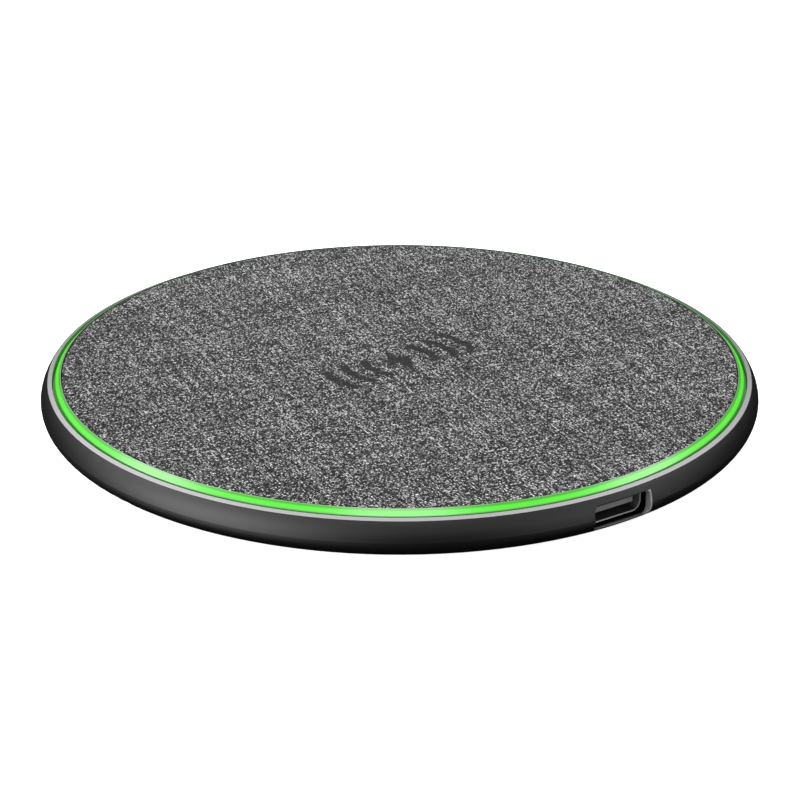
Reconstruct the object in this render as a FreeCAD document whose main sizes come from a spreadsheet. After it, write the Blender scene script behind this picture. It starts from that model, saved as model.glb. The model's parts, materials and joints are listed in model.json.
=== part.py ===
import FreeCAD, Part
import math
import os
import Sketcher

# Round wireless charging pad, about 100 mm across and 7.8 mm high. Millimetres, +Z up.
# The origin is the middle of the face it rests on, and the USB-C inlet looks along -Y.

SIZES = {
    # heights of the main levels above the face it rests on
    "pad_height": 7.8, "shell_bottom": 0.84, "floor_top": 2.04, "recess_roof": 1.14,
    # housing shell, from the outside in
    "shell_radius": 50.34, "shell_flat_radius": 43.0, "shell_belly": 4.33, "shell_shoulder": 4.4,
    "shell_low_bend": 2.39, "shell_top_bend": 4.5, "rim_radius": 49.31, "rim_level": 6.93,
    "trim_seat_radius": 49.25, "trim_seat_level": 6.25, "guide_seat_radius": 48.65,
    "guide_seat_level": 6.05, "upper_wall_radius": 47.9, "board_ledge_level": 4.75,
    "lower_wall_radius": 47.2, "lower_wall_level": 3.6, "floor_radius": 45.4, "recess_radius": 41.8,
    # bright trim ring
    "trim_inner_top": 7.12,
    # translucent light guide
    "guide_inner_radius": 45.8, "guide_foot_radius": 48.55, "guide_foot_top": 6.3,
    "guide_radius": 48.2, "guide_bevel": 0.75, "guide_lip_radius": 47.38,
    # cover, glue and cloth on top
    "cover_radius": 47.2, "cover_bottom": 6.4, "cover_top": 7.25, "cloth_bottom": 7.35,
    "cloth_radius": 47.22, "glue_radius": 46.9, "boss_circle": 38.0, "boss_radius": 2.2,
    "boss_pilot": 0.8, "boss_pilot_depth": 3.4,
    # foot under the shell
    "foot_radius": 41.5, "foot_top": 1.04, "foot_glue_radius": 41.2, "foot_edge": 0.3,
    "foot_groove_depth": 0.3, "foot_groove_width": 0.9, "foot_first_groove": 12.0,
    "foot_groove_step": 6.5,
    # screws
    "screw_hole": 1.1, "screw_head_room": 1.9, "screw_head_depth": 0.5, "screw_radius": 0.75,
    "screw_head_radius": 1.7, "screw_head_height": 0.5, "recess_width": 0.45,
    "recess_depth": 0.3, "cover_screw_length": 3.2, "inner_screw_length": 1.7, "post_pilot": 0.75,
    "post_pilot_depth": 1.0, "post_radius": 2.2,
    # coil stack in the middle
    "carrier_bottom": 3.4, "carrier_floor": 4.4, "carrier_radius": 26.0, "carrier_wall": 0.7,
    "carrier_top": 5.2, "carrier_ear_circle": 28.0, "carrier_ear_radius": 2.6,
    "carrier_window": 8.0, "ferrite_radius": 25.2, "ferrite_thickness": 0.75, "coil_glue": 0.05,
    "coil_inner_radius": 10.25, "coil_pitch": 1.175, "coil_turns": 10, "coil_thickness": 1.1,
    "coil_crown": 0.3, "film_thickness": 0.05, "film_radius": 24.0,
    # wires
    "lead_radius": 0.45, "lead_level": 5.72, "lead_start": 22.1, "lead_crest": 28.2,
    "lead_foot": 32.3, "lead_end": 34.2, "sensor_radius": 0.55, "sensor_circle": 23.7,
    "sensor_wire_radius": 0.2,
    # main circuit board
    "board_bottom": 2.5, "board_thickness": 0.8, "board_inner": 31.5, "board_outer": 45.3,
    "board_half_angle": 62.0, "board_post_circle": 34.5, "boss_clearance": 2.6,
    "board_screw_hole": 0.95,
    # USB-C inlet
    "port_level": 4.34, "port_width": 8.9, "port_height": 3.14, "port_corner": 0.7,
    "port_rounding": 0.2, "port_back": 49.0, "socket_room_width": 10.4,
    "socket_room_bottom": 2.6, "socket_width": 8.94, "socket_height": 3.26,
    "socket_corner": 1.3, "socket_wall": 0.18, "socket_front": 48.0,
    "socket_back": 41.5, "socket_block": 1.9, "tongue_width": 6.69, "tongue_thickness": 0.7,
    "tongue_reach": 6.2, "contact_setback": 1.4, "contact_length": 2.7, "contact_pitch": 0.5,
    "contact_width": 0.25, "contact_thickness": 0.06, "tail_length": 0.9, "tab_length": 1.2,
    "tab_reach": 0.9, "tab_thickness": 0.25, "tab_root": 0.22, "notch_width": 9.2,
    # chips on the main board: radial length, width round the board, height
    "controller_side": 5.0, "controller_height": 0.85, "mosfet_side": 3.3, "mosfet_height": 0.8,
    "resonant_length": 3.2, "resonant_width": 1.6, "resonant_height": 1.6,
    "inductor_side": 4.0, "inductor_height": 2.0, "bypass_length": 1.6, "bypass_width": 0.8,
    "bypass_height": 0.8, "resistor_length": 1.0, "resistor_width": 0.5, "resistor_height": 0.35,
    # light ring board
    "lamp_board_inner": 45.2, "lamp_board_outer": 47.5, "lamp_board_thickness": 0.4,
    "lamp_board_gap_angle": 9.0, "lamp_circle": 46.6, "lamp_length": 0.8, "lamp_width": 1.6,
    "lamp_height": 0.55, "ribbon_thickness": 0.12, "ribbon_width": 3.0, "ribbon_foot": 43.2,
    "ribbon_riser": 45.0, "ribbon_tip": 45.9,
}

COVER_SCREW_ANGLES = (45, 135, 225, 315)
CARRIER_EAR_ANGLES = (90, 210, 330)
BOARD_POST_ANGLES = (235, 270, 305)
COIL_LEAD_ANGLES = (263.5, 276.5)
SENSOR_ANGLE = 246
RIBBON_ANGLE = 252
LAMP_COUNT = 16
Z_AXIS = FreeCAD.Vector(0, 0, 1)

doc = FreeCAD.newDocument("charging_pad")
sheet = doc.addObject("Spreadsheet::Sheet", "Sizes")


class Size:
    """A length that carries both its value and the expression that ties it to the sheet."""

    def __init__(self, text, value):
        self.text = text
        self.value = value

    def joined(self, sign, other, value):
        other_text = other.text if isinstance(other, Size) else str(other)
        return Size("(%s %s %s)" % (self.text, sign, other_text), value)

    def __add__(self, other):
        return self.joined("+", other, self.value + number(other))

    def __sub__(self, other):
        return self.joined("-", other, self.value - number(other))

    def __mul__(self, other):
        return self.joined("*", other, self.value * number(other))

    def __truediv__(self, other):
        return self.joined("/", other, self.value / number(other))

    def __neg__(self):
        return Size("(0 - %s)" % self.text, -self.value)


class Sizes:
    """Gives each cell of the sheet as a Size attribute with the cell's alias."""

    def __getattr__(self, alias):
        return Size("Sizes." + alias, SIZES[alias])


def number(size):
    return size.value if isinstance(size, Size) else size


dim = Sizes()


def fill_sheet():
    for row, (alias, value) in enumerate(SIZES.items(), 1):
        sheet.set("A%d" % row, alias)
        sheet.set("B%d" % row, str(value))
        sheet.setAlias("B%d" % row, alias)
    doc.recompute()


# ---- sketches -------------------------------------------------------------------------------

def new_body(label):
    return doc.addObject("PartDesign::Body", label)


def new_sketch(body, role, offset=None):
    """An empty sketch on one of the body's own origin planes, moved along its normal."""
    sketch = body.newObject("Sketcher::SketchObject", body.Name + "_sketch")
    plane = [item for item in body.Origin.OriginFeatures if item.Role == role][0]
    sketch.AttachmentSupport = [(plane, "")]
    sketch.MapMode = "FlatFace"
    if offset is not None:
        sketch.setExpression("AttachmentOffset.Base.z", offset.text)
    return sketch


def fix_value(sketch, constraint, size):
    index = sketch.addConstraint(constraint)
    sketch.setExpression("Constraints[%d]" % index, size.text)


def fix_point(sketch, edge, end, x, y):
    """Ties one point to the sketch's axes; a plain 0 keeps it on the axis."""
    if isinstance(x, Size):
        fix_value(sketch, Sketcher.Constraint("DistanceX", -1, 1, edge, end, x.value), x)
    else:
        sketch.addConstraint(Sketcher.Constraint("PointOnObject", edge, end, -2))
    if isinstance(y, Size):
        fix_value(sketch, Sketcher.Constraint("DistanceY", -1, 1, edge, end, y.value), y)
    else:
        sketch.addConstraint(Sketcher.Constraint("PointOnObject", edge, end, -1))


def arc_between(start, end, radius):
    """The short arc from start to end: anticlockwise for a positive radius, else clockwise."""
    chord = end - start
    side = FreeCAD.Vector(-chord.y, chord.x, 0).normalize()
    rise = math.sqrt(radius ** 2 - (chord.Length / 2) ** 2)
    centre = (start + end) / 2 + side * math.copysign(rise, radius)
    first, last = (start, end) if radius > 0 else (end, start)
    angles = [math.atan2(p.y - centre.y, p.x - centre.x) for p in (first, last)]
    circle = Part.Circle(centre, Z_AXIS, abs(radius))
    return Part.ArcOfCircle(circle, angles[0], angles[1])


def draw_outline(sketch, corners):
    """A closed outline. A corner is (x, y), or (x, y, radius) where an arc leads to the next one."""
    points = [FreeCAD.Vector(number(corner[0]), number(corner[1]), 0) for corner in corners]
    ends = []
    for index, corner in enumerate(corners):
        start, end = points[index], points[(index + 1) % len(points)]
        if len(corner) == 2:
            edge = sketch.addGeometry(Part.LineSegment(start, end), False)
            ends.append((edge, 1, 2))
        else:
            radius = corner[2]
            edge = sketch.addGeometry(arc_between(start, end, radius.value), False)
            ends.append((edge, 1, 2) if radius.value > 0 else (edge, 2, 1))
    for index, corner in enumerate(corners):
        edge, first, last = ends[index]
        following = ends[(index + 1) % len(ends)]
        joint = Sketcher.Constraint("Coincident", edge, last, following[0], following[1])
        sketch.addConstraint(joint)
        fix_point(sketch, edge, first, corner[0], corner[1])
        if len(corner) == 3:
            size = corner[2] if corner[2].value > 0 else -corner[2]
            fix_value(sketch, Sketcher.Constraint("Radius", edge, size.value), size)


def draw_circle(sketch, x, y, radius):
    centre = FreeCAD.Vector(number(x), number(y), 0)
    edge = sketch.addGeometry(Part.Circle(centre, Z_AXIS, radius.value), False)
    fix_point(sketch, edge, 3, x, y)
    fix_value(sketch, Sketcher.Constraint("Radius", edge, radius.value), radius)


def draw_circles_round(sketch, circle, angles, radius):
    for angle in angles:
        x = circle * round(math.cos(math.radians(angle)), 9)
        y = circle * round(math.sin(math.radians(angle)), 9)
        draw_circle(sketch, x if abs(x.value) > 1e-6 else 0, y if abs(y.value) > 1e-6 else 0, radius)


def draw_rectangle(sketch, left, right, bottom, top):
    draw_outline(sketch, [(left, bottom), (right, bottom), (right, top), (left, top)])


def draw_rounded_box(sketch, width, height, level, corner):
    """A rectangle with round corners, centred on the vertical axis at a level."""
    reach, rise = width / 2 - corner, height / 2 - corner
    middle = FreeCAD.Vector(0, level.value, 0)
    arcs = []
    for across, up, start in ((1, -1, -90), (1, 1, 0), (-1, 1, 90), (-1, -1, 180)):
        centre = middle + FreeCAD.Vector(across * reach.value, up * rise.value, 0)
        circle = Part.Circle(centre, Z_AXIS, corner.value)
        arc = Part.ArcOfCircle(circle, math.radians(start), math.radians(start + 90))
        arcs.append((sketch.addGeometry(arc, False), arc.StartPoint, arc.EndPoint))
    for index, (edge, _, end) in enumerate(arcs):
        following, start, _ = arcs[(index + 1) % 4]
        line = sketch.addGeometry(Part.LineSegment(end, start), False)
        sketch.addConstraint(Sketcher.Constraint("Tangent", edge, 2, line, 1))
        sketch.addConstraint(Sketcher.Constraint("Tangent", line, 2, following, 1))
        sketch.addConstraint(Sketcher.Constraint("Horizontal" if index % 2 else "Vertical", line))
        if index:
            sketch.addConstraint(Sketcher.Constraint("Equal", arcs[0][0], edge))
    first = arcs[0][0]
    fix_value(sketch, Sketcher.Constraint("Radius", first, corner.value), corner)
    fix_point(sketch, first, 3, reach, level - rise)
    across, up = reach * 2, rise * 2
    fix_value(sketch, Sketcher.Constraint("DistanceX", arcs[2][0], 3, arcs[1][0], 3, across.value),
              across)
    fix_value(sketch, Sketcher.Constraint("DistanceY", first, 3, arcs[1][0], 3, up.value), up)


# ---- features -------------------------------------------------------------------------------

def revolve(body, corners):
    """Turns an outline, drawn as (radius, height) corners, once round the Z axis."""
    sketch = new_sketch(body, "XZ_Plane")
    draw_outline(sketch, corners)
    turned = body.newObject("PartDesign::Revolution", body.Name + "_turned")
    turned.Profile = sketch
    turned.ReferenceAxis = (sketch, ["V_Axis"])
    turned.Angle = 360
    sketch.Visibility = False
    doc.recompute()
    return turned


def pad(body, sketch, length, reverse=False):
    feature = body.newObject("PartDesign::Pad", body.Name + "_pad")
    feature.Profile = sketch
    feature.setExpression("Length", length.text)
    feature.Reversed = reverse
    doc.recompute()
    return feature


def pocket(body, sketch, length, reverse=False):
    """Cuts the sketch out of the body, and makes sure that the cut took something away."""
    before = body.Shape.Volume
    feature = body.newObject("PartDesign::Pocket", body.Name + "_pocket")
    feature.Profile = sketch
    feature.setExpression("Length", length.text)
    feature.Reversed = reverse
    doc.recompute()
    if body.Shape.Volume > before - 1e-6:
        raise ValueError("a pocket in %s cuts nothing" % body.Label)
    return feature


def disc(label, radius, bottom, top):
    solid = doc.addObject("Part::Cylinder", label)
    solid.setExpression("Radius", radius.text)
    solid.setExpression("Height", (top - bottom).text)
    solid.setExpression("Placement.Base.z", bottom.text)
    return solid


def polar_box(label, size, circle, angle, bottom):
    """A box of (radial, tangential, upright) size, centred on a circle at an angle in degrees."""
    radial, tangential, upright = size
    box = doc.addObject("Part::Box", label)
    box.setExpression("Length", radial.text)
    box.setExpression("Width", tangential.text)
    box.setExpression("Height", upright.text)
    box.Placement = FreeCAD.Placement(FreeCAD.Vector(), FreeCAD.Rotation(Z_AXIS, angle))
    near = circle - radial / 2
    terms = (near.text, angle, (tangential / 2).text, angle)
    box.setExpression("Placement.Base.x", "%s * cos(%g) + %s * sin(%g)" % terms)
    box.setExpression("Placement.Base.y", "%s * sin(%g) - %s * cos(%g)" % terms)
    box.setExpression("Placement.Base.z", bottom.text)
    return box


def place_on_circle(item, circle, angle):
    item.setExpression("Placement.Base.x", "%s * cos(%g)" % (circle.text, angle))
    item.setExpression("Placement.Base.y", "%s * sin(%g)" % (circle.text, angle))


def group(label, members):
    compound = doc.addObject("Part::Compound", label)
    compound.Links = members
    return compound


def row_of_boxes(label, size, circle, angles, bottom):
    boxes = [polar_box("%s_%d" % (label, index), size, circle, angle, bottom)
             for index, angle in enumerate(angles, 1)]
    return group(label, boxes)


# ---- outer pieces ---------------------------------------------------------------------------

def lower_bend_radius():
    """The wide arc under the shell, which meets the small one beside it without a corner."""
    across = dim.shell_radius - dim.shell_flat_radius
    rise = dim.shell_belly - dim.shell_bottom
    small = dim.shell_low_bend
    return (across * across + rise * rise - across * small * 2) / ((rise - small) * 2)


def lower_bend_corner():
    """Where the wide arc under the shell meets the small one, as (radius, height)."""
    wide, small = lower_bend_radius(), dim.shell_low_bend
    across = dim.shell_radius - dim.shell_flat_radius - small
    rise = wide - (dim.shell_belly - dim.shell_bottom)
    x = dim.shell_radius - small + small * across / (wide - small)
    y = dim.shell_belly - small * rise / (wide - small)
    return x, y


def shell_outline():
    corner_x, corner_y = lower_bend_corner()
    return [
        (0, dim.recess_roof), (dim.recess_radius, dim.recess_roof),
        (dim.recess_radius, dim.shell_bottom), (dim.shell_flat_radius, dim.shell_bottom,
                                                lower_bend_radius()),
        (corner_x, corner_y, dim.shell_low_bend), (dim.shell_radius, dim.shell_belly),
        (dim.shell_radius, dim.shell_shoulder, dim.shell_top_bend),
        (dim.rim_radius, dim.rim_level), (dim.trim_seat_radius, dim.rim_level),
        (dim.trim_seat_radius, dim.trim_seat_level), (dim.guide_seat_radius, dim.trim_seat_level),
        (dim.guide_seat_radius, dim.guide_seat_level),
        (dim.upper_wall_radius, dim.guide_seat_level),
        (dim.upper_wall_radius, dim.board_ledge_level),
        (dim.lower_wall_radius, dim.board_ledge_level),
        (dim.lower_wall_radius, dim.lower_wall_level), (dim.floor_radius, dim.floor_top),
        (0, dim.floor_top),
    ]


def port_rim_edges(shape):
    """Names of the edges where the inlet's mouth meets the outer face of the shell."""
    names = []
    for index, edge in enumerate(shape.Edges, 1):
        box = edge.BoundBox
        in_front = box.YMax < -SIZES["port_back"] - 0.1
        near_mouth = max(-box.XMin, box.XMax) < SIZES["port_width"] * 0.51
        if in_front and near_mouth and box.ZMax < SIZES["guide_seat_level"]:
            names.append("Edge%d" % index)
    return names


def make_housing_shell():
    """The black bowl: outer wall, floor, seats for the rings, posts and the inlet's room and mouth."""
    body = new_body("housing_shell")
    revolve(body, shell_outline())

    posts = new_sketch(body, "XY_Plane", dim.floor_top)
    draw_circles_round(posts, dim.board_post_circle, BOARD_POST_ANGLES, dim.post_radius)
    pad(body, posts, dim.board_bottom - dim.floor_top)
    tall_posts = new_sketch(body, "XY_Plane", dim.floor_top)
    draw_circles_round(tall_posts, dim.carrier_ear_circle, CARRIER_EAR_ANGLES, dim.post_radius)
    pad(body, tall_posts, dim.carrier_bottom - dim.floor_top)

    pilots = new_sketch(body, "XY_Plane", dim.board_bottom)
    draw_circles_round(pilots, dim.board_post_circle, BOARD_POST_ANGLES, dim.post_pilot)
    pocket(body, pilots, dim.post_pilot_depth)
    tall_pilots = new_sketch(body, "XY_Plane", dim.carrier_bottom)
    draw_circles_round(tall_pilots, dim.carrier_ear_circle, CARRIER_EAR_ANGLES, dim.post_pilot)
    pocket(body, tall_pilots, dim.post_pilot_depth)

    holes = new_sketch(body, "XY_Plane", dim.floor_top)
    draw_circles_round(holes, dim.boss_circle, COVER_SCREW_ANGLES, dim.screw_hole)
    pocket(body, holes, dim.floor_top - dim.recess_roof)
    head_rooms = new_sketch(body, "XY_Plane", dim.recess_roof)
    draw_circles_round(head_rooms, dim.boss_circle, COVER_SCREW_ANGLES, dim.screw_head_room)
    pocket(body, head_rooms, dim.screw_head_depth, reverse=True)

    room = new_sketch(body, "XZ_Plane", dim.floor_radius)
    half = dim.socket_room_width / 2
    draw_rectangle(room, -half, half, dim.socket_room_bottom, dim.guide_seat_level)
    pocket(body, room, dim.port_back - dim.floor_radius, reverse=True)
    mouth = new_sketch(body, "XZ_Plane", dim.floor_radius)
    draw_rounded_box(mouth, dim.port_width, dim.port_height, dim.port_level, dim.port_corner)
    cut = pocket(body, mouth, dim.shell_radius - dim.floor_radius + 1, reverse=True)
    rounding = body.newObject("PartDesign::Fillet", "housing_shell_mouth_rounding")
    rounding.Base = (cut, port_rim_edges(cut.Shape))
    rounding.setExpression("Radius", dim.port_rounding.text)
    doc.recompute()
    return body


def make_trim_ring():
    """The bright ring let into the top edge of the shell."""
    body = new_body("trim_ring")
    revolve(body, [
        (dim.guide_seat_radius, dim.trim_seat_level), (dim.trim_seat_radius, dim.trim_seat_level),
        (dim.trim_seat_radius, dim.rim_level), (dim.guide_seat_radius, dim.trim_inner_top),
    ])
    return body


def make_light_guide_ring():
    """The translucent ring: a flange over the lamps, and a bevelled rim round the cloth."""
    body = new_body("light_guide_ring")
    revolve(body, [
        (dim.guide_inner_radius, dim.guide_seat_level), (dim.guide_foot_radius, dim.guide_seat_level),
        (dim.guide_foot_radius, dim.guide_foot_top), (dim.guide_radius, dim.guide_foot_top),
        (dim.guide_radius, dim.pad_height - dim.guide_bevel),
        (dim.guide_radius - dim.guide_bevel, dim.pad_height), (dim.guide_lip_radius, dim.pad_height),
        (dim.guide_lip_radius, dim.cover_bottom), (dim.guide_inner_radius, dim.cover_bottom),
    ])
    return body


def make_top_cover():
    """The round plate under the cloth, with four bosses that the cover screws bite into."""
    body = new_body("top_cover")
    revolve(body, [
        (0, dim.cover_bottom), (dim.cover_radius, dim.cover_bottom),
        (dim.cover_radius, dim.cover_top), (0, dim.cover_top),
    ])
    bosses = new_sketch(body, "XY_Plane", dim.cover_bottom)
    draw_circles_round(bosses, dim.boss_circle, COVER_SCREW_ANGLES, dim.boss_radius)
    pad(body, bosses, dim.cover_bottom - dim.floor_top, reverse=True)
    pilots = new_sketch(body, "XY_Plane", dim.floor_top)
    draw_circles_round(pilots, dim.boss_circle, COVER_SCREW_ANGLES, dim.boss_pilot)
    pocket(body, pilots, dim.boss_pilot_depth, reverse=True)
    return body


def make_antislip_pad():
    """The soft foot: a disc with a rounded lower edge and round grooves in its underside."""
    body = new_body("antislip_pad")
    outline = [(0, 0)]
    depth, width = dim.foot_groove_depth, dim.foot_groove_width
    for step in range(5):
        inner = dim.foot_first_groove + dim.foot_groove_step * step
        outline += [(inner, 0), (inner, depth), (inner + width, depth), (inner + width, 0)]
    outline += [
        (dim.foot_radius - dim.foot_edge, 0, dim.foot_edge), (dim.foot_radius, dim.foot_edge),
        (dim.foot_radius, dim.foot_top), (0, dim.foot_top),
    ]
    revolve(body, outline)
    return body


# ---- coil stack -----------------------------------------------------------------------------

def make_coil_carrier():
    """The tray that holds the ferrite and coil up under the cover, on three screwed ears."""
    body = new_body("coil_carrier")
    inner_wall = dim.carrier_radius - dim.carrier_wall
    revolve(body, [
        (dim.carrier_window, dim.carrier_bottom), (dim.carrier_radius, dim.carrier_bottom),
        (dim.carrier_radius, dim.carrier_top), (inner_wall, dim.carrier_top),
        (inner_wall, dim.carrier_floor), (dim.carrier_window, dim.carrier_floor),
    ])
    ears = new_sketch(body, "XY_Plane", dim.carrier_bottom)
    draw_circles_round(ears, dim.carrier_ear_circle, CARRIER_EAR_ANGLES, dim.carrier_ear_radius)
    pad(body, ears, dim.carrier_floor - dim.carrier_bottom)
    holes = new_sketch(body, "XY_Plane", dim.carrier_floor)
    draw_circles_round(holes, dim.carrier_ear_circle, CARRIER_EAR_ANGLES, dim.board_screw_hole)
    pocket(body, holes, dim.carrier_floor - dim.carrier_bottom)
    return body


def make_charging_coil():
    """The flat winding, one crowned turn beside the next."""
    body = new_body("charging_coil")
    bottom = dim.carrier_floor + dim.ferrite_thickness + dim.coil_glue
    top = bottom + dim.coil_thickness
    valley = top - dim.coil_crown
    half = dim.coil_pitch / 2
    crown_radius = (half * half + dim.coil_crown * dim.coil_crown) / (dim.coil_crown * 2)
    turns = SIZES["coil_turns"]
    outer = dim.coil_inner_radius + dim.coil_pitch * turns
    outline = [(dim.coil_inner_radius, bottom), (outer, bottom)]
    for turn in range(turns):
        outline.append((outer - dim.coil_pitch * turn, valley, crown_radius))
    outline.append((dim.coil_inner_radius, valley))
    revolve(body, outline)
    return body


def bent_path(points, bend):
    """Straight runs joined by tangent arcs through a list of points."""
    edges = []
    start = points[0]
    for before, corner, after in zip(points, points[1:], points[2:]):
        into = (before - corner).normalize()
        out = (after - corner).normalize()
        half_turn = (math.pi - into.getAngle(out)) / 2
        setback = bend * math.tan(half_turn)
        first, last = corner + into * setback, corner + out * setback
        bulge = bend / math.cos(half_turn) - bend
        middle = corner + (into + out).normalize() * bulge
        edges += [Part.LineSegment(start, first).toShape(), Part.Arc(first, middle, last).toShape()]
        start = last
    edges.append(Part.LineSegment(start, points[-1]).toShape())
    return Part.Wire(edges)


def make_wire(label, radius, circles, levels, angle):
    """A round wire over the carrier's wall and down to the board, in the plane of one angle."""
    spoke = FreeCAD.Rotation(Z_AXIS, angle)
    points = [spoke.multVec(FreeCAD.Vector(circle.value, 0, level.value))
              for circle, level in zip(circles, levels)]
    path = doc.addObject("Part::Feature", label + "_path")
    path.Shape = bent_path(points, 1.2)
    ring = doc.addObject("Part::Circle", label + "_ring")
    ring.setExpression("Radius", radius.text)
    face_out = FreeCAD.Rotation(Z_AXIS, spoke.multVec(FreeCAD.Vector(1, 0, 0)))
    ring.Placement = FreeCAD.Placement(points[0], face_out)
    wire = doc.addObject("Part::Sweep", label)
    wire.Sections = [ring]
    wire.Spine = (path, ["Edge%d" % (index + 1) for index in range(len(path.Shape.Edges))])
    wire.Solid = True
    return wire


def wire_route(radius, start):
    board_top = dim.board_bottom + dim.board_thickness + radius
    circles = (start, dim.lead_crest, dim.lead_foot, dim.lead_end)
    return circles, (dim.lead_level, dim.lead_level, board_top, board_top)


def make_coil_leads():
    circles, levels = wire_route(dim.lead_radius, dim.lead_start)
    leads = [make_wire("coil_lead_%d" % index, dim.lead_radius, circles, levels, angle)
             for index, angle in enumerate(COIL_LEAD_ANGLES, 1)]
    return group("coil_leads", leads)


def make_thermistor():
    """The temperature sensor beside the winding: a bead, and its two fine wires to the board."""
    bead = doc.addObject("Part::Sphere", "thermistor_bead")
    bead.setExpression("Radius", dim.sensor_radius.text)
    place_on_circle(bead, dim.sensor_circle, SENSOR_ANGLE)
    bead.setExpression("Placement.Base.z", dim.lead_level.text)
    circles, levels = wire_route(dim.sensor_wire_radius, dim.sensor_circle)
    wires = [make_wire("thermistor_wire_%d" % side, dim.sensor_wire_radius, circles, levels,
                       SENSOR_ANGLE + side * 0.8) for side in (-1, 1)]
    whole = doc.addObject("Part::MultiFuse", "thermistor")
    whole.Shapes = [bead] + wires
    return whole


# ---- circuit board and inlet ----------------------------------------------------------------

def draw_ring_sector(sketch, inner, outer, half_angle, opening):
    """A ring sector about -Y, or for an opening the whole ring without a sector about -Y."""
    reach = math.radians(half_angle.value)
    for radius in (inner, outer):
        low, high = -math.pi / 2 - reach, -math.pi / 2 + reach
        if opening:
            low, high = high, low + 2 * math.pi
        arc = Part.ArcOfCircle(Part.Circle(FreeCAD.Vector(), Z_AXIS, radius.value), low, high)
        edge = sketch.addGeometry(arc, False)
        sketch.addConstraint(Sketcher.Constraint("Coincident", edge, 3, -1, 1))
        fix_value(sketch, Sketcher.Constraint("Radius", edge, radius.value), radius)
    ends = {1: sketch.Geometry[0].StartPoint, 2: sketch.Geometry[0].EndPoint}
    outer_ends = {1: sketch.Geometry[1].StartPoint, 2: sketch.Geometry[1].EndPoint}
    for end in (1, 2):
        spoke = sketch.addGeometry(Part.LineSegment(ends[end], outer_ends[end]), False)
        sketch.addConstraint(Sketcher.Constraint("Coincident", spoke, 1, 0, end))
        sketch.addConstraint(Sketcher.Constraint("Coincident", spoke, 2, 1, end))
        sign = -1 if (end == 1) != opening else 1
        side = Size("%s * sin(%s) * %d" % (inner.text, half_angle.text, sign),
                    inner.value * math.sin(reach) * sign)
        fix_value(sketch, Sketcher.Constraint("DistanceX", -1, 1, 0, end, side.value), side)
        far = Size("%s * sin(%s) * %d" % (outer.text, half_angle.text, sign),
                   outer.value * math.sin(reach) * sign)
        fix_value(sketch, Sketcher.Constraint("DistanceX", -1, 1, 1, end, far.value), far)


def make_main_pcb():
    """The main board: a ring sector round the coil, with holes and a notch for the inlet."""
    body = new_body("main_pcb")
    plan = new_sketch(body, "XY_Plane", dim.board_bottom)
    draw_ring_sector(plan, dim.board_inner, dim.board_outer, dim.board_half_angle, False)
    pad(body, plan, dim.board_thickness)
    top = dim.board_bottom + dim.board_thickness
    clearances = new_sketch(body, "XY_Plane", top)
    low_bosses = [angle for angle in COVER_SCREW_ANGLES if angle > 180]
    draw_circles_round(clearances, dim.boss_circle, low_bosses, dim.boss_clearance)
    draw_circles_round(clearances, dim.board_post_circle, BOARD_POST_ANGLES, dim.board_screw_hole)
    pocket(body, clearances, dim.board_thickness)
    notch = new_sketch(body, "XY_Plane", top)
    half = dim.notch_width / 2
    draw_rectangle(notch, -half, half, -(dim.board_outer + 1), -(dim.socket_back - 0.2))
    pocket(body, notch, dim.board_thickness)
    return body


def draw_socket_bore(sketch):
    """The inside of the inlet's steel tube."""
    gap = dim.socket_wall * 2
    draw_rounded_box(sketch, dim.socket_width - gap, dim.socket_height - gap, dim.port_level,
                     dim.socket_corner - dim.socket_wall)


def make_usb_c_shell():
    """The inlet's steel tube, open at the front, with solder tabs on the board."""
    body = new_body("usb_c_shell")
    tube = new_sketch(body, "XZ_Plane", dim.socket_back)
    draw_rounded_box(tube, dim.socket_width, dim.socket_height, dim.port_level, dim.socket_corner)
    draw_socket_bore(tube)
    pad(body, tube, dim.socket_front - dim.socket_back)
    board_top = dim.board_bottom + dim.board_thickness
    tabs = new_sketch(body, "XY_Plane", board_top)
    inner = dim.socket_width / 2 - dim.tab_root
    outer = dim.socket_width / 2 + dim.tab_reach
    for step in (0, 1):
        near = -(dim.socket_back + 0.3 + dim.tab_length * 1.5 * step)
        far = near - dim.tab_length
        draw_rectangle(tabs, inner, outer, far, near)
        draw_rectangle(tabs, -outer, -inner, far, near)
    pad(body, tabs, dim.tab_thickness)
    return body


def make_usb_c_tongue():
    """The inlet's moulded block and the thin tongue that the plug slides over."""
    body = new_body("usb_c_tongue")
    block = new_sketch(body, "XZ_Plane", dim.socket_back)
    draw_socket_bore(block)
    pad(body, block, dim.socket_block)
    tongue = new_sketch(body, "XZ_Plane", dim.socket_back)
    half_width, half_height = dim.tongue_width / 2, dim.tongue_thickness / 2
    draw_rectangle(tongue, -half_width, half_width, dim.port_level - half_height,
                   dim.port_level + half_height)
    pad(body, tongue, dim.tongue_reach)
    return body


def contact_bar(label, offset, back, length, bottom, thickness):
    """One straight metal strip along Y, at an offset along X from the inlet's middle."""
    bar = doc.addObject("Part::Box", label)
    bar.setExpression("Length", dim.contact_width.text)
    bar.setExpression("Width", length.text)
    bar.setExpression("Height", thickness.text)
    bar.setExpression("Placement.Base.x", (offset - dim.contact_width / 2).text)
    bar.setExpression("Placement.Base.y", back.text)
    bar.setExpression("Placement.Base.z", bottom.text)
    return bar


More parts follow.
